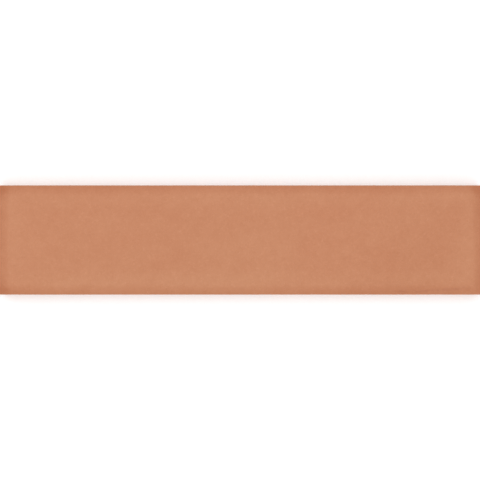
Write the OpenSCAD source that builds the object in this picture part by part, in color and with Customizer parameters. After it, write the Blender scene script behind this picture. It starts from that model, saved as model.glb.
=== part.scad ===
// Glazed ceramic wall tile, dry-pressed in one piece: a long slim slab with a
// cushioned face, sides that taper towards the back, and a lattice of keying
// ribs on the back. Millimetres. The tile lies on its ribs with its face up:
// X runs along its length, Y across it and Z out of the glazed face. The
// origin is the middle of the back, on the plane of the ribs.

/* [Tile] */
// Length of the tile
tile_length = 300; // [150:1:600]
// Width of the tile
tile_width = 68; // [50:1:200]
// Thickness from the back ribs to the flat of the face
tile_thickness = 8.5; // [8:0.1:14]
// Radius of the four upright corners
corner_radius = 0.8; // [0.4:0.1:1.5]

/* [Face] */
// Width of the cushioned band that falls away along each side of the face
cushion_width = 6; // [4:0.25:10]
// Drop of the face across the cushioned band
cushion_drop = 0.8; // [0.5:0.1:1.5]
// Angle at which the flat of the face breaks into the cushioned band
break_angle = 2; // [1:0.5:2.5]
// Radius between the cushioned band and the side
arris_radius = 0.9; // [0.5:0.1:1.4]

/* [Sides] */
// Height of the upright band under the arris, where neighbouring tiles face each other
upright_band = 3; // [2:0.1:3.5]
// Inward taper of each side between the upright band and the back
side_taper = 0.5; // [0.2:0.1:1]
// Size of the bevel along the edges of the back
back_bevel = 0.7; // [0.3:0.1:1]

/* [Back] */
// Spacing of the keying pockets, from middle to middle, before they are fitted to the back
pocket_pitch = 12; // [8:0.5:20]
// Width of the ribs between the pockets
rib_width = 2; // [1.2:0.1:3]
// Width from the widest line of the tile in to the pockets
back_margin = 5; // [3:0.5:8]
// Depth of the pockets
pocket_depth = 0.8; // [0.4:0.1:1.2]
// Inward lean of each pocket wall over its depth
pocket_lean = 0.5; // [0.2:0.1:0.8]

/* [Hidden] */
$fn = 192;

// A cutter reaches this far past what it cuts.
overshoot = 1;

// In section the cushioned band is an arc. It leaves the flat of the face at the break
// angle and has dropped by cushion_drop where the sharp side would be.
fall_angle = 2 * atan(cushion_drop / cushion_width) - break_angle;
cushion_radius = cushion_width / (sin(fall_angle) - sin(break_angle));
cushion_centre = [
    cushion_width + cushion_radius * sin(break_angle),
    tile_thickness - cushion_radius * cos(break_angle)
];

// The arris is a smaller arc, tangent to the upright side and to the cushioned band.
arris_rise = sqrt(
    pow(cushion_radius - arris_radius, 2) - pow(cushion_centre.x - arris_radius, 2)
);
arris_centre = [arris_radius, cushion_centre.y + arris_rise];
arris_end = cushion_centre
    + (arris_centre - cushion_centre) * cushion_radius / (cushion_radius - arris_radius);

// Height at which the side turns from upright to tapered.
taper_top = arris_centre.y - upright_band;

// The pockets fill the back inside its margins. An even number of them along the tile
// leaves a rib across its middle.
pocket_room = [tile_length - 2 * back_margin, tile_width - 2 * back_margin];
pockets_along = 2 * round((pocket_room.x + rib_width) / (2 * pocket_pitch));
pockets_across = round((pocket_room.y + rib_width) / pocket_pitch);

// The slab's section across a given span, centred on the Y axis, with sharp edges round
// its face.
module blank_section(span) {
    half = span / 2;
    half_back = half - side_taper;
    polygon([
        [-half_back + back_bevel, 0],
        [half_back - back_bevel, 0],
        [half_back, back_bevel],
        [half, taper_top],
        [half, tile_thickness],
        [-half, tile_thickness],
        [-half, taper_top],
        [-half_back, back_bevel]
    ]);
}

// What lies under the arcs of the two cushioned bands, and between them.
module cushion_section(span) {
    inset = span / 2 - cushion_centre.x;
    translate([-inset, 0]) square([2 * inset, tile_thickness]);
    for (side = [-1, 1])
        translate([side * inset, cushion_centre.y]) circle(r = cushion_radius);
}

// What lies inside the two round arrises, and between them.
module arris_section(span) {
    half = span / 2;
    polygon([
        [-half, 0],
        [half, 0],
        [half, arris_centre.y],
        [half - arris_end.x, arris_end.y],
        [half - arris_end.x, tile_thickness],
        [arris_end.x - half, tile_thickness],
        [arris_end.x - half, arris_end.y],
        [-half, arris_centre.y]
    ]);
    for (side = [-1, 1])
        translate([side * (half - arris_centre.x), arris_centre.y]) circle(r = arris_radius);
}

// The slab's whole section across a given span, centred on the Y axis.
module slab_section(span) {
    intersection() {
        blank_section(span);
        cushion_section(span);
        arris_section(span);
    }
}

// The outline of the tile seen from its face, with rounded corners.
module tile_outline() {
    square([tile_length - 2 * corner_radius, tile_width], center = true);
    square([tile_length, tile_width - 2 * corner_radius], center = true);
    for (x = [-1, 1], y = [-1, 1])
        translate([x * (tile_length / 2 - corner_radius), y * (tile_width / 2 - corner_radius)])
            circle(r = corner_radius);
}

// A section drawn in X and Y, stood up so that it runs along the tile's length.
module run_along(length) {
    rotate([90, 0, 90]) linear_extrude(length, center = true) children();
}

// A section drawn in X and Y, stood up so that it runs across the tile.
module run_across(width) {
    rotate([90, 0, 0]) linear_extrude(width, center = true) children();
}

// The pressed slab before its back is keyed: the lengthwise and the crosswise
// sections meet in mitres at the corners of the cushioned band.
module slab() {
    intersection() {
        linear_extrude(tile_thickness) tile_outline();
        run_along(tile_length) slab_section(tile_width);
        run_across(tile_width) slab_section(tile_length);
    }
}

// A row of groove sections that fills the given room, with ribs between the grooves.
module groove_row(room, count) {
    groove = (room - (count - 1) * rib_width) / count;
    mouth_lean = pocket_lean * overshoot / pocket_depth;
    for (i = [0 : count - 1])
        translate([i * (groove + rib_width) - room / 2, 0])
            polygon([
                [-mouth_lean, -overshoot],
                [groove + mouth_lean, -overshoot],
                [groove - pocket_lean, pocket_depth],
                [pocket_lean, pocket_depth]
            ]);
}

// The keying pockets: lengthwise and crosswise grooves cut only where they cross.
module pockets() {
    intersection() {
        run_along(tile_length) groove_row(pocket_room.y, pockets_across);
        run_across(tile_width) groove_row(pocket_room.x, pockets_along);
    }
}

module glazed_tile() {
    color([0.79, 0.55, 0.42]) difference() {
        slab();
        pockets();
    }
}

glazed_tile();
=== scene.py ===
"""A slim terracotta-pink wall tile, lying on its back with its glazed face up."""
import math

import bpy
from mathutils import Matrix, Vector


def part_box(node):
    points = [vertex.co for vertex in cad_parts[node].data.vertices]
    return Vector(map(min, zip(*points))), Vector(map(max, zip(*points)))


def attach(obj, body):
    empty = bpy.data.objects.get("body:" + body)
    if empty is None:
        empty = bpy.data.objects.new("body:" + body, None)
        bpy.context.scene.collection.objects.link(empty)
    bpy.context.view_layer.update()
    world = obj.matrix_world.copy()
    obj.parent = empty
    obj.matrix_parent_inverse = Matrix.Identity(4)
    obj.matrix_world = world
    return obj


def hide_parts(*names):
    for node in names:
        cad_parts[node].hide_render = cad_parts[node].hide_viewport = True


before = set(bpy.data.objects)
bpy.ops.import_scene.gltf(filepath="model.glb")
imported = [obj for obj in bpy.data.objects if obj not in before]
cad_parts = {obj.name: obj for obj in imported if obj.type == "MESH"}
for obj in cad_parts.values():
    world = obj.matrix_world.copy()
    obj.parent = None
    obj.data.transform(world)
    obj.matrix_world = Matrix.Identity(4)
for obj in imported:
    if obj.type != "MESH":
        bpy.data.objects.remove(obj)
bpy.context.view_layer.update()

# ---------------------------------------------------------------------------------------
# The slab
# One piece of red earthenware, dry-pressed between two punches: one leaves the cushioned
# face, the other the ribbed back, and the sides taper so that the die lets it go. The glaze
# is poured over the face, runs a little way down the sides and is fused on in the kiln.
# ---------------------------------------------------------------------------------------
MM = 0.001

slab_low, slab_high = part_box("glazed_tile")

# The slab's sizes. Each is a named input of the tree that shapes it.
SLAB = {
    "Length": slab_high[0] - slab_low[0],
    "Width": slab_high[1] - slab_low[1],
    "Thickness": slab_high[2] - slab_low[2],
    # The face falls away in a cushioned band and ends in a round arris.
    "Cushion Width": 6.0 * MM,
    "Cushion Drop": 0.8 * MM,
    "Arris Radius": 0.9 * MM,
    # The sides are upright down to where they taper, and end in a worn bevel.
    "Taper Top": 4.0 * MM,
    "Side Taper": 0.5 * MM,
    "Back Bevel": 0.7 * MM,
    # The back has ribs round keying pockets with leaning walls, inside a plain margin.
    "Back Margin": 5.0 * MM,
    "Rib Width": 2.0 * MM,
    "Pocket Depth": 0.8 * MM,
    "Pocket Lean": 0.5 * MM,
    "Pocket Softness": 0.1 * MM,
    # The glaze lies in low swells over the face, but not near its sides.
    "Swell Length": 45.0 * MM,
    "Swell Height": 0.08 * MM,
    "Swell Margin": 9.0 * MM,
    # It ends on the sides in a roll. Going up from its edge, the roll swells to its full
    # thickness, and then falls back a little to the glaze above it.
    "Glaze Edge": 5.0 * MM,
    "Glaze Thickness": 0.18 * MM,
    "Roll Swells By": 0.26 * MM,
    "Roll Falls From": 0.45 * MM,
    "Roll Falls To": 1.2 * MM,
    "Roll Proud": 0.07 * MM,
    # The roll wanders up and down in long and short waves, and in places the glaze has run.
    "Long Wave": 38.0 * MM,
    "Long Wave Reach": 0.6 * MM,
    "Short Wave": 9.0 * MM,
    "Short Wave Reach": 0.25 * MM,
    "Run Width": 12.0 * MM,
    "Run Length": 0.7 * MM,
    # The glaze's edge takes the sides along with it: wholly between the inner two of these
    # heights, and not at all beyond the outer two.
    "Pull Starts": 2.2 * MM,
    "Pull Is Full": 4.5 * MM,
    "Pull Fades": 5.8 * MM,
    "Pull Ends": 7.2 * MM,
    # The sides come down with the face from this far above the glaze's edge.
    "Still Above Edge": 0.8 * MM,
    # All the unevenness is drawn from this seed.
    "Seed": 4.0,
}

# The pockets fill the back inside its margin. An even number of them along the tile leaves a
# rib across its middle.
POCKET_PITCH = 12.0 * MM


def rib_room(span):
    """The room for pockets across a span of the back, and for one more rib."""
    return span - 2 * SLAB["Back Margin"] + SLAB["Rib Width"]


SLAB["Pockets Along"] = 2 * round(rib_room(SLAB["Length"]) / (2 * POCKET_PITCH))
SLAB["Pockets Across"] = round(rib_room(SLAB["Width"]) / POCKET_PITCH)

# Where the block that becomes the slab is ruled, in millimetres: in from the sides over the
# cushioned band, in from the mouth of a pocket, up and down from the glaze's edge, and up the
# rest of the sides. Its edges are ruled in a few even steps of arc.
CUSHION_LINES = (1.05, 1.5, 2.1, 2.8, 3.5, 4.2)
POCKET_LINES = (0.1, 0.4, 2.2, 3.8)
GLAZE_EDGE_LINES = (-0.5, -0.2, 0, 0.06, 0.14, 0.26, 0.45, 0.8, 1.2)
SIDE_LINES = (1.4, 2.2, 3.1, 6.8, 7.2)
ARC_STEPS = 4
EIGHTH_TURN = math.radians(45)

# Heights and shares under this count as none.
NEXT_TO_NOTHING = 1e-6


def arc_lines(radius):
    """Distances in from a sharp edge at which to rule it, so that it rounds to an even arc."""
    turns = [EIGHTH_TURN * step / ARC_STEPS for step in range(ARC_STEPS + 1)]
    return [radius * (1 - math.tan(turn)) for turn in turns]


def pocket_lines(span, count):
    """The lines along one axis that the ribs and the walls and floors of the pockets need."""
    pitch = rib_room(span) / count
    half_mouth = (pitch - SLAB["Rib Width"]) / 2
    softness = SLAB["Pocket Softness"]
    inward = [-softness, SLAB["Pocket Lean"] + softness] + [distance * MM for distance in POCKET_LINES]
    lines = [(number - count / 2) * pitch for number in range(1, count)]
    for number in range(count):
        middle = (number + 0.5 - count / 2) * pitch
        lines.append(middle)
        lines += [middle + side * (half_mouth - distance) for side in (-1, 1) for distance in inward]
    return lines


def plan_lines(span, pockets):
    """All the lines along one horizontal axis of the block."""
    inward = arc_lines(SLAB["Arris Radius"]) + [distance * MM for distance in CUSHION_LINES]
    edges = [side * (span / 2 - distance) for side in (-1, 1) for distance in inward]
    return sorted(edges + pocket_lines(span, pockets))


def height_lines():
    """All the lines up the sides of the block."""
    arris = [SLAB["Thickness"] - distance for distance in arc_lines(SLAB["Arris Radius"])]
    glaze_edge = [SLAB["Glaze Edge"] + distance * MM for distance in GLAZE_EDGE_LINES]
    sides = [height * MM for height in SIDE_LINES] + [SLAB["Taper Top"]]
    return sorted(arc_lines(SLAB["Back Bevel"]) + sides + glaze_edge + arris)


def ruled_block(name, lines):
    """A closed box whose six faces are ruled into quads at the given lines along each axis."""
    last = [len(along) - 1 for along in lines]
    numbers = {}
    corners = []
    quads = []

    def corner(place):
        if place not in numbers:
            numbers[place] = len(corners)
            corners.append([lines[axis][place[axis]] for axis in range(3)])
        return numbers[place]

    for axis in range(3):
        across, up = (axis + 1) % 3, (axis + 2) % 3
        for end in (0, last[axis]):
            for i in range(last[across]):
                for j in range(last[up]):
                    quad = []
                    for step_across, step_up in ((0, 0), (1, 0), (1, 1), (0, 1)):
                        place = [0, 0, 0]
                        place[axis] = end
                        place[across] = i + step_across
                        place[up] = j + step_up
                        quad.append(corner(tuple(place)))
                    quads.append(quad if end else quad[::-1])

    mesh = bpy.data.meshes.new(name)
    mesh.from_pydata(corners, [], quads)
    block = bpy.data.objects.new(name, mesh)
    bpy.context.scene.collection.objects.link(block)
    return block


class Value:
    """A number or a vector that nodes work out. Arithmetic on it adds the nodes that do it."""

    def __init__(self, wiring, socket):
        self.wiring = wiring
        self.socket = socket

    def __add__(self, other):
        return self.wiring.calc("ADD", self, other)

    def __radd__(self, other):
        return self.wiring.calc("ADD", other, self)

    def __sub__(self, other):
        return self.wiring.calc("SUBTRACT", self, other)

    def __rsub__(self, other):
        return self.wiring.calc("SUBTRACT", other, self)

    def __mul__(self, other):
        return self.wiring.calc("MULTIPLY", self, other)

    def __truediv__(self, other):
        return self.wiring.calc("DIVIDE", self, other)

    def __rtruediv__(self, other):
        return self.wiring.calc("DIVIDE", other, self)

    def __neg__(self):
        return self * -1.0

    def __abs__(self):
        return self.wiring.calc("ABSOLUTE", self)

    def root(self):
        return self.wiring.calc("SQRT", self)

    def at_least(self, limit):
        return self.wiring.calc("MAXIMUM", self, limit)

    def at_most(self, limit):
        return self.wiring.calc("MINIMUM", self, limit)

    def below(self, limit):
        """1 where the number is under the limit, and 0 elsewhere."""
        return self.wiring.calc("LESS_THAN", self, limit)

    def ramp(self, start, end, low=0.0, high=1.0, smooth=False):
        """low up to start, high from end on, and an even or a smooth change between them."""
        kind = "SMOOTHSTEP" if smooth else "LINEAR"
        return self.wiring.value("ShaderNodeMapRange", self, start, end, low, high, interpolation_type=kind)


class Wiring:
    """Adds nodes to a tree one after another and joins them up."""

    def __init__(self, tree):
        self.tree = tree

    def add(self, kind, *values, **settings):
        """Adds a node, makes its settings and gives its first inputs their values."""
        node = self.tree.nodes.new(kind)
        for name, setting in settings.items():
            setattr(node, name, setting)
        for socket, value in zip(node.inputs, values):
            self.give(socket, value)
        return node

    def give(self, socket, value):
        """Joins an input to what other nodes work out, or sets it. None leaves it as it is."""
        if isinstance(value, Value):
            self.tree.links.new(value.socket, socket)
        elif value is not None:
            socket.default_value = (*value, 1) if socket.type == "RGBA" else value

    def value(self, kind, *values, output=0, **settings):
        """Adds a node and returns one of its outputs."""
        return Value(self, self.add(kind, *values, **settings).outputs[output])

    def calc(self, operation, *values):
        """One operation on numbers, or on vectors where one of the values is a vector."""
        kinds = [value.socket.type for value in values if isinstance(value, Value)]
        if "VECTOR" not in kinds:
            return self.value("ShaderNodeMath", *values, operation=operation)
        output = "Value" if operation == "LENGTH" else "Vector"
        return self.value("ShaderNodeVectorMath", *values, output=output, operation=operation)

    def join(self, *numbers):
        """The vector of three numbers."""
        return self.value("ShaderNodeCombineXYZ", *numbers)

    def split(self, vector):
        """The three numbers of a vector."""
        return [Value(self, socket) for socket in self.add("ShaderNodeSeparateXYZ", vector).outputs]

    def noise(self, place, size, seed, detail=0.0, roughness=0.5):
        """Smooth noise round 0.5, with features about as big as size."""
        return self.value("ShaderNodeTexNoise", place, seed, 1.0 / size, detail, roughness,
                          noise_dimensions="4D")

    def sway(self, place, reach, **layout):
        """Noise that swings about 0, by half of a reach to either side at the most."""
        return (self.noise(place, **layout) - 0.5) * reach

    def patches(self, place, window, **layout):
        """Noise cut to patches: 0 where it is under a window, 1 where it is over, and even between."""
        return self.noise(place, **layout).ramp(*window)

    def mix(self, under, over, share, blend="MIX", clamped=True):
        """One colour laid over another by a share, or multiplied into it."""
        node = self.add("ShaderNodeMix", data_type="RGBA", blend_type=blend, clamp_factor=clamped)
        for name, value in (("Factor", share), ("A", under), ("B", over)):
            self.give(node.inputs[name], value)
        return Value(self, node.outputs["Result"])


def round_edges(wiring, given, place, half):
    """Draws in whatever stands out of the block's inner core, so that each edge has its radius."""
    radius, bevel = given["Arris Radius"], given["Back Bevel"]
    reach = [distance - radius for distance in half]
    core_low = wiring.join(-reach[0], -reach[1], bevel)
    core_high = wiring.join(*reach, given["Thickness"] - radius)
    core = place.at_least(core_low).at_most(core_high)
    beyond = place - core

    low_down = wiring.split(place)[2].below(given["Taper Top"])
    share = abs(beyond / wiring.join(radius, radius, low_down.ramp(0.0, 1.0, radius, bevel)))
    share_x, share_y, share_z = wiring.split(share)
    largest = share_x.at_least(share_y.at_least(share_z))
    return core + beyond * (largest / wiring.calc("LENGTH", share).at_least(NEXT_TO_NOTHING))


def side_inset(given, height):
    """How far in the sides stand at a height: they taper, and the roll of glaze stands proud."""
    above_edge = height - given["Glaze Edge"]
    taper = height.ramp(0.0, given["Taper Top"], given["Side Taper"], 0.0)
    under_roll = above_edge.ramp(0.0, given["Roll Swells By"], given["Glaze Thickness"], 0.0, smooth=True)
    over_roll = above_edge.ramp(given["Roll Falls From"], given["Roll Falls To"], 0.0, given["Roll Proud"],
                                smooth=True)
    return taper + (under_roll + over_roll)


def cushion_fall(given, from_sides):
    """How far the face falls: by an arc along each side, and deeper where two sides meet."""
    width, drop = given["Cushion Width"], given["Cushion Drop"]
    radius = (width * width + drop * drop) / (drop * 2.0)
    squares = []
    for distance in from_sides:
        along = (width - distance).at_least(0.0)
        fall = radius - (radius * radius - along * along).root()
        squares.append(fall * fall)
    return (squares[0] + squares[1]).root()


def pocket_share(wiring, given, place, half):
    """1 over the floors of the pockets, 0 over the ribs and outside them, and between on the walls."""
    x, y, height = wiring.split(place)
    half_rib = given["Rib Width"] * 0.5
    wall_top = half_rib - given["Pocket Softness"]
    wall_foot = half_rib + given["Pocket Lean"] + given["Pocket Softness"]
    share = height.below(NEXT_TO_NOTHING)
    for along, half_span, count in ((x, half[0], "Pockets Along"), (y, half[1], "Pockets Across")):
        last_rib = half_span - given["Back Margin"] + half_rib
        from_rib = wiring.calc("PINGPONG", along + last_rib, last_rib / given[count])
        inside = abs(along).below(last_rib)
        share = share * (inside * from_rib.ramp(wall_top, wall_foot, smooth=True))
    return share


# The waves swing fully over the first window of their noise, and a run comes over the second.
WAVE_WINDOW = (0.25, 0.75)
RUN_WINDOW = (0.62, 0.74)


def glaze_edge_rise(wiring, given, place):
    """How far the lines round the sides rise or sink, so that the glaze ends unevenly."""

    def waves(name, number):
        return wiring.noise(place, given[name], given["Seed"] + number)

    long_reach, short_reach = given["Long Wave Reach"], given["Short Wave Reach"]
    wander = waves("Long Wave", 1.0).ramp(*WAVE_WINDOW, -long_reach, long_reach)
    wander = wander + waves("Short Wave", 2.0).ramp(*WAVE_WINDOW, -short_reach, short_reach)
    runs = waves("Run Width", 3.0).ramp(*RUN_WINDOW, 0.0, -given["Run Length"], smooth=True)
    height = wiring.split(place)[2]
    pull = height.ramp(given["Pull Starts"], given["Pull Is Full"])
    pull = pull * height.ramp(given["Pull Fades"], given["Pull Ends"], 1.0, 0.0)
    return (wander + runs) * pull


# The mesh keeps under this name how many millimetres above the glaze's edge each point lies.
ABOVE_GLAZE_EDGE = "mm_above_glaze_edge"


def glazed_slab_tree(sizes, finishes):
    """The rules that turn the ruled block into the fired tile, with a named input for each size."""
    tree = bpy.data.node_groups.new("glazed_slab", "GeometryNodeTree")
    tree.interface.new_socket("Block", in_out="INPUT", socket_type="NodeSocketGeometry")
    for name in sizes:
        tree.interface.new_socket(name, in_out="INPUT", socket_type="NodeSocketFloat")
    for name in finishes:
        tree.interface.new_socket(name, in_out="INPUT", socket_type="NodeSocketMaterial")
    tree.interface.new_socket("Tile", in_out="OUTPUT", socket_type="NodeSocketGeometry")

    wiring = Wiring(tree)
    given = {socket.name: Value(wiring, socket) for socket in wiring.add("NodeGroupInput").outputs}
    place = wiring.value("GeometryNodeInputPosition")
    block_x, block_y, height = wiring.split(place)
    half = (given["Length"] * 0.5, given["Width"] * 0.5)
    from_sides = (half[0] - abs(block_x), half[1] - abs(block_y))
    x, y, z = wiring.split(round_edges(wiring, given, place, half))

    # The sides stand in from the full width, and less and less so under the back.
    inset = side_inset(given, height)
    near_side = [distance.ramp(0.0, given["Back Margin"], 1.0, 0.0) for distance in from_sides]
    x = x - wiring.calc("SIGN", block_x) * (inset * near_side[0])
    y = y - wiring.calc("SIGN", block_y) * (inset * near_side[1])

    # The face falls away and swells, and takes the top of the sides with it.
    face_foot = given["Glaze Edge"] + given["Still Above Edge"]
    with_face = height.ramp(face_foot, given["Thickness"] - given["Arris Radius"])
    z = z - cushion_fall(given, from_sides) * with_face
    swell = wiring.noise(place, given["Swell Length"], given["Seed"], detail=2.0) * given["Swell Height"]
    flat = from_sides[0].at_most(from_sides[1]).ramp(0.0, given["Swell Margin"], smooth=True)
    z = z - swell * flat * with_face

    z = z + pocket_share(wiring, given, place, half) * given["Pocket Depth"]
    z = z + glaze_edge_rise(wiring, given, place)

    # The finishes need to know where the glaze ends.
    above_edge = (height - given["Glaze Edge"]) / MM
    marked = wiring.value("GeometryNodeStoreNamedAttribute", given["Block"], None, ABOVE_GLAZE_EDGE,
                          above_edge, data_type="FLOAT", domain="POINT")
    shaped = wiring.value("GeometryNodeSetPosition", marked, None, wiring.join(x, y, z))
    smooth = wiring.value("GeometryNodeSetShadeSmooth", shaped)
    realized = wiring.value("GeometryNodeRealizeInstances", smooth)
    clay = wiring.value("GeometryNodeSetMaterial", realized, None, given["Clay"])
    stored = wiring.value("GeometryNodeInputNamedAttribute", ABOVE_GLAZE_EDGE, data_type="FLOAT")
    glazed = wiring.calc("GREATER_THAN", stored, 0.0)
    wiring.add("NodeGroupOutput", wiring.value("GeometryNodeSetMaterial", clay, glazed, given["Glaze"]))
    return tree


def new_finish(name):
    """A material, the wiring of its nodes and the inputs of its shader."""
    material = bpy.data.materials.new(name)
    material.use_nodes = True
    surface = material.node_tree.nodes["Principled BSDF"].inputs
    return material, Wiring(material.node_tree), surface


def give_relief(wiring, surface, relief, strength, depth):
    """Gives a finish its fine relief, as a bump."""
    bump = wiring.add("ShaderNodeBump")
    for name, value in (("Height", relief), ("Strength", strength), ("Distance", depth)):
        wiring.give(bump.inputs[name], value)
    wiring.give(surface["Normal"], Value(wiring, bump.outputs[0]))


# The glaze where it lies deep and where it lies pale, and what its colour is multiplied by
# where it is tanner, and where it is thin and painted shade darkens the cushioned band.
DEEP_GLAZE = (0.538, 0.2075, 0.0963)
PALE_GLAZE = (0.607, 0.2512, 0.1271)
TAN_GLAZE = (0.976, 1.027, 1.016)
THIN_AND_SHADED_GLAZE = (0.917, 0.849, 0.79)

# The body that shows through the glaze on the arris, and how strongly.
BODY_ON_ARRIS = (0.44, 0.14, 0.02)
BODY_SHOWS = 0.7

# How far each kind of marking reaches, where 1 is from deep glaze to pale. The pale specks
# come over a window of their noise.
SHADING_REACH = 0.42
CLOUD_REACH = 1.0
MOTTLE_REACH = 1.0
GRAIN_REACH = 0.85
SPECK_WINDOW = (0.63, 0.77)
SPECKS_SHOW = 0.45

# The biggest markings are drawn out into streaks, a little aslant of the tile.
STREAK_STRETCH = 1.7
STREAK_SLANT = math.radians(18)

# How far the glaze's hue drifts, against how far its broad markings take it.
HUE_DRIFT = 1.35

# Distances in from the sides between which the glaze changes: a pale ring comes and goes, the
# glaze darkens at the ends, along the long sides and once more at the corners, partly as it
# thins and partly as painted shade of the cushioned band, and the body shows through it on the
# arris.
RING_COMES = (4.5 * MM, 7.2 * MM)
RING_GOES = (9.0 * MM, 18.0 * MM)
THIN_AND_SHADED_AT_ENDS = (1.3 * MM, 6.1 * MM)
THIN_AND_SHADED_AT_LONG_SIDES = (0.9 * MM, 5.6 * MM)
THIN_AND_SHADED_AT_CORNERS = (3.0 * MM, 8.5 * MM)
ARRIS_SHOWS = (0.2 * MM, 0.75 * MM)

# The ring is paler by this much of the way from deep glaze to pale. It wanders in and out over
# this reach, and the darkened band, thin glaze and painted shade, over a share of it. How much a
# corner darkens goes by how far the wandering has come there.
RING_STRENGTH = 0.2
WANDER_REACH = 5.0 * MM
BAND_WANDERS = 0.6
CORNER_WANDER = (0.0, 1.2 * MM)
CORNER_THINNING_AND_SHADE = (0.95, 0.1)

# Down the sides the band's darkening, thin glaze and painted shade alike, fades between these
# heights to this share of itself. The body stops showing between the second pair.
DARKENING_FADES_DOWN = (SLAB["Glaze Edge"], 7.4 * MM)
DARKENING_ON_SIDES = 0.2
ARRIS_HEIGHTS = (6.4 * MM, 7.4 * MM)

# A faint broken scuff runs along the front edge near its right end. Along the tile it comes,
# bends in towards the corner and goes between these places.
SCUFF_COMES = (92.0 * MM, 100.0 * MM)
SCUFF_BENDS = (114.0 * MM, 145.0 * MM)
SCUFF_GOES = (142.0 * MM, 147.0 * MM)

# How far in from the side its line lies, and how far it reaches to either side of the line,
# before and after the bend. The line itself strays a little.
SCUFF_INSETS = (2.3 * MM, 4.9 * MM)
SCUFF_REACHES = (1.2 * MM, 2.2 * MM)
SCUFF_STRAYS = 0.6 * MM

# The shares of its reach between which it fades, the window of the noise that breaks it up,
# and what it multiplies the glaze by.
SCUFF_FADES = (0.1, 1.0)
SCUFF_WINDOW = (0.36, 0.62)
SCUFFED_GLAZE = (0.925, 0.89, 0.905)

# The polish goes from the first roughness to the second over this window of its noise.
GLAZE_ROUGHNESS = (0.24, 0.32)
POLISH_WINDOW = (0.3, 0.7)


def glaze_markings(wiring, place):
    """How much paler or deeper the glaze's broad markings make it, and how much its fine ones do."""
    streaked = wiring.value("ShaderNodeMapping", place, None, (0, 0, STREAK_SLANT), (STREAK_STRETCH, 1, 1),
                            vector_type="TEXTURE")
    shading = wiring.sway(streaked, SHADING_REACH, size=60.0 * MM, seed=604.0)
    clouds = wiring.sway(streaked, CLOUD_REACH, size=26.0 * MM, seed=1102.0, detail=2.0, roughness=0.9)
    mottle = wiring.sway(place, MOTTLE_REACH, size=4.2 * MM, seed=5.0, detail=1.0, roughness=1.0)
    grain = wiring.sway(place, GRAIN_REACH, size=0.75 * MM, seed=6.0, detail=1.0, roughness=0.8)
    specks = wiring.patches(place, SPECK_WINDOW, size=1.0 * MM, seed=7.0) * SPECKS_SHOW
    return shading + clouds, mottle + grain + specks


def scuff_share(wiring, place):
    """1 where the glaze is scuffed, 0 where it isn't, and between where the scuff fades."""
    x, y, _ = wiring.split(place)
    strays = wiring.sway(place, SCUFF_STRAYS, size=8.0 * MM, seed=19.0)
    off_line = abs(y + SLAB["Width"] / 2 - x.ramp(*SCUFF_BENDS, *SCUFF_INSETS) + strays)
    off_line = off_line / x.ramp(*SCUFF_BENDS, *SCUFF_REACHES)
    share = off_line.ramp(*SCUFF_FADES, 1.0, 0.0, smooth=True)
    share = share * x.ramp(*SCUFF_COMES) * x.ramp(*SCUFF_GOES, 1.0, 0.0)
    return share * wiring.patches(place, SCUFF_WINDOW, size=1.8 * MM, seed=17.0)


def glaze_finish():
    """A satin terracotta-pink glaze, clouded and finely speckled, that thins towards its edges, where
    painted shade darkens it too.
    """
    material, wiring, surface = new_finish("terracotta_glaze")
    place = wiring.value("ShaderNodeTexCoord", output="Object")
    x, y, height = wiring.split(place)
    from_end = SLAB["Length"] / 2 - abs(x)
    from_long_side = SLAB["Width"] / 2 - abs(y)
    from_rim = from_end.at_most(from_long_side)
    wander = wiring.sway(place, WANDER_REACH, size=26.0 * MM, seed=953.0, detail=2.0)

    # The glaze is paler in a ring just inside the cushioned band.
    ring = (from_rim + wander).ramp(*RING_COMES, smooth=True)
    ring = ring * (from_rim + wander).ramp(*RING_GOES, RING_STRENGTH, 0.0, smooth=True)
    broad, fine = glaze_markings(wiring, place)
    broad = broad + ring
    colour = wiring.mix(DEEP_GLAZE, PALE_GLAZE, broad + fine + 0.5, clamped=False)

    # It is a little tanner where it lies pale, and its hue drifts over the tile.
    drift = wiring.sway(place, HUE_DRIFT, size=100.0 * MM, seed=569.0)
    colour = wiring.mix(colour, TAN_GLAZE, broad - drift, blend="MULTIPLY", clamped=False)

    # It darkens over the band, and up to twice as much at the corners: partly the glaze thins there,
    # and partly this is painted shade of the cushion's slope.
    band_end, band_side = from_end + wander * BAND_WANDERS, from_long_side + wander * BAND_WANDERS
    over_band = band_end.ramp(*THIN_AND_SHADED_AT_ENDS, 1.0, 0.0) + band_side.ramp(*THIN_AND_SHADED_AT_LONG_SIDES, 1.0, 0.0)
    at_corner = band_end.ramp(*THIN_AND_SHADED_AT_CORNERS, 1.0, 0.0) * band_side.ramp(*THIN_AND_SHADED_AT_CORNERS, 1.0, 0.0)
    thin_and_shade = over_band.at_most(1.0) + at_corner * wander.ramp(*CORNER_WANDER, *CORNER_THINNING_AND_SHADE)
    thin_and_shade = thin_and_shade * height.ramp(*DARKENING_FADES_DOWN, DARKENING_ON_SIDES, 1.0)
    colour = wiring.mix(colour, THIN_AND_SHADED_GLAZE, thin_and_shade, blend="MULTIPLY", clamped=False)

    colour = wiring.mix(colour, SCUFFED_GLAZE, scuff_share(wiring, place), blend="MULTIPLY")
    on_arris = from_rim.ramp(*ARRIS_SHOWS, BODY_SHOWS, 0.0) * height.ramp(*ARRIS_HEIGHTS)
    wiring.give(surface["Base Color"], wiring.mix(colour, BODY_ON_ARRIS, on_arris))

    polish = wiring.noise(place, size=6.0 * MM, seed=11.0, detail=2.0)
    wiring.give(surface["Roughness"], polish.ramp(*POLISH_WINDOW, *GLAZE_ROUGHNESS))
    ripple = wiring.noise(place, size=2.4 * MM, seed=13.0, detail=3.0)
    give_relief(wiring, surface, ripple, strength=0.05, depth=0.03 * MM)
    return material


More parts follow.
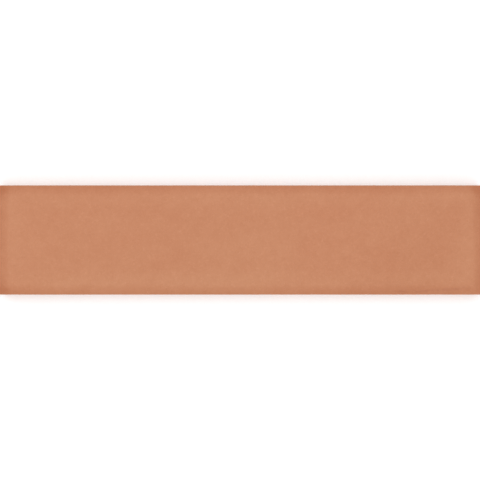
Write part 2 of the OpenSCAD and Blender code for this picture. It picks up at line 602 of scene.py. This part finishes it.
# The clay in its two shades, with its pale sand and its dark grog, the wash that it picks up
# from the kiln's shelf, and the slip that lies under the glaze.
CLAY = (0.50, 0.165, 0.075)
DARK_CLAY = (0.40, 0.115, 0.050)
SAND = (0.62, 0.28, 0.15)
GROG = (0.20, 0.055, 0.03)
KILN_WASH = (0.66, 0.52, 0.43)
SLIP = (0.70, 0.55, 0.44)

# The window of its noise over which each of them comes, and how strongly it then covers the
# clay. The sand and the grog share one noise, and the grog lies where that is low.
DARK_CLAY_WINDOW = (0.3, 0.7)
SAND_WINDOW = (0.55, 0.75)
SAND_COVERS = 0.7
GROG_WINDOW = (0.24, 0.36)
GROG_COVERS = 0.8
WASH_WINDOW = (0.42, 0.62)
WASH_COVERS = 0.6
SPATTER_WINDOW = (0.5, 0.65)
SPATTER_COVERS = 0.4

# The wash stays on the tops of the ribs, under these heights. The slip ends in a line and its
# spatter further down, both in millimetres above the glaze's edge.
RIB_TOPS = (0.05 * MM, 0.25 * MM)
SLIP_LINE = (-0.55, -0.15)
SPATTER_BAND = (-3.0, -0.2)

CLAY_ROUGHNESS = 0.85


def clay_finish():
    """Bare fired clay: sandy, with kiln wash on the ribs and a pale line of slip under the glaze."""
    material, wiring, surface = new_finish("fired_clay")
    place = wiring.value("ShaderNodeTexCoord", output="Object")
    height = wiring.split(place)[2]
    above_edge = wiring.value("ShaderNodeAttribute", output="Fac", attribute_name=ABOVE_GLAZE_EDGE)

    clouds = wiring.patches(place, DARK_CLAY_WINDOW, size=18.0 * MM, seed=21.0, detail=4.0, roughness=0.6)
    grains = wiring.noise(place, size=0.7 * MM, seed=23.0, detail=2.0, roughness=0.7)
    colour = wiring.mix(CLAY, DARK_CLAY, clouds)
    colour = wiring.mix(colour, SAND, grains.ramp(*SAND_WINDOW, 0.0, SAND_COVERS))
    colour = wiring.mix(colour, GROG, grains.ramp(*GROG_WINDOW, GROG_COVERS, 0.0))

    wash = wiring.patches(place, WASH_WINDOW, size=7.0 * MM, seed=27.0, detail=5.0, roughness=0.7)
    colour = wiring.mix(colour, KILN_WASH, wash * height.ramp(*RIB_TOPS, WASH_COVERS, 0.0))

    spatter = wiring.patches(place, SPATTER_WINDOW, size=0.5 * MM, seed=29.0, detail=1.0)
    spatter = spatter * above_edge.ramp(*SPATTER_BAND, 0.0, SPATTER_COVERS)
    colour = wiring.mix(colour, SLIP, above_edge.ramp(*SLIP_LINE).at_least(spatter))
    wiring.give(surface["Base Color"], colour)

    wiring.give(surface["Roughness"], CLAY_ROUGHNESS)
    grit = wiring.noise(place, size=0.5 * MM, seed=31.0, detail=3.0, roughness=0.7)
    give_relief(wiring, surface, grit, strength=0.6, depth=0.1 * MM)
    return material


tile = ruled_block("pressed_tile", (plan_lines(SLAB["Length"], SLAB["Pockets Along"]),
                                    plan_lines(SLAB["Width"], SLAB["Pockets Across"]),
                                    height_lines()))
finishes = {"Clay": clay_finish(), "Glaze": glaze_finish()}
tree = glazed_slab_tree(SLAB, finishes)
modifier = tile.modifiers.new("glazed_slab", "NODES")
modifier.node_group = tree
for item in tree.interface.items_tree:
    if item.name in SLAB:
        modifier[item.identifier] = float(SLAB[item.name])
    if item.name in finishes:
        modifier[item.identifier] = finishes[item.name]

bpy.context.view_layer.update()
shaped = tile.evaluated_get(bpy.context.evaluated_depsgraph_get())
shaped_mesh = bpy.data.meshes.new_from_object(shaped)
tile.modifiers.clear()
tile.data = shaped_mesh

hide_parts("glazed_tile")
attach(tile, "root")

# ---------------------------------------------------------------------------------------
# The table, the light and the camera
# A white table under a pale studio sky, which is bright low down all round and dimmer
# overhead, so that the face keeps its colour. Two soft boxes stand off to the sides.
# ---------------------------------------------------------------------------------------
WHITE = (1.0, 1.0, 1.0)

TABLE_SIZE = 8.0
TABLE_PAPER = (0.88, 0.88, 0.88)
TABLE_ROUGHNESS = 0.9
TABLE_LIFT = 0.26

SKY_AT_HORIZON = 1.21
SKY_OVERHEAD = 0.80

# Where each soft box stands, and its power in watts.
SOFT_BOXES = {"key_light": ((-1.4, 0.6, 1.0), 2.2), "fill_light": ((0.9, -1.5, 1.1), 1.8)}
SOFT_BOX_SIZE = 0.5

# The camera looks straight down on the tile. Its view is this wide at the height where the
# arris meets the sides.
VIEW_WIDTH = 298.1 * MM
VIEW_MIDDLE = -0.15 * MM
VIEW_HEIGHT = 6.9 * MM
LENS = 120.0
SENSOR = 36.0

bpy.ops.mesh.primitive_plane_add(size=TABLE_SIZE)
table = bpy.context.object
table.name = "white_table"
paper, wiring, surface = new_finish("white_paper")
wiring.give(surface["Base Color"], TABLE_PAPER)
wiring.give(surface["Roughness"], TABLE_ROUGHNESS)
wiring.give(surface["Specular IOR Level"], 0.0)

# The paper is lifted to white where it is seen, and not where it only lights the tile. The
# lift leaves the tile's shadow on it.
rays = wiring.add("ShaderNodeLightPath").outputs
seen, mirrored, seen_through = [Value(wiring, rays[f"Is {kind} Ray"])
                                for kind in ("Camera", "Glossy", "Transmission")]
wiring.give(surface["Emission Color"], WHITE)
wiring.give(surface["Emission Strength"], seen.at_least(mirrored.at_least(seen_through)) * TABLE_LIFT)
table.data.materials.append(paper)

sky = bpy.data.worlds.new("studio_sky")
sky.use_nodes = True
bpy.context.scene.world = sky
wiring = Wiring(sky.node_tree)
upward = wiring.split(wiring.value("ShaderNodeTexCoord", output="Generated"))[2]
glow = upward.ramp(0.0, 1.0, SKY_AT_HORIZON, SKY_OVERHEAD)
background = sky.node_tree.nodes["Background"].inputs
seen = wiring.value("ShaderNodeLightPath", output="Is Camera Ray")
wiring.give(background["Color"], WHITE)
wiring.give(background["Strength"], glow.at_least(seen))

for name, (place, power) in SOFT_BOXES.items():
    lamp = bpy.data.lights.new(name, "AREA")
    lamp.shape = "SQUARE"
    lamp.size = SOFT_BOX_SIZE
    lamp.energy = power
    soft_box = bpy.data.objects.new(name, lamp)
    soft_box.location = place
    soft_box.rotation_euler = Vector(place).to_track_quat("Z", "Y").to_euler()
    bpy.context.scene.collection.objects.link(soft_box)

lens = bpy.data.cameras.new("camera")
lens.lens = LENS
lens.sensor_width = SENSOR
camera = bpy.data.objects.new("camera", lens)
camera.location = (VIEW_MIDDLE, 0, VIEW_HEIGHT + VIEW_WIDTH * LENS / SENSOR)
bpy.context.scene.collection.objects.link(camera)
bpy.context.scene.camera = camera
bpy.context.scene.view_settings.view_transform = "Standard"

bpy.context.view_layer.update()
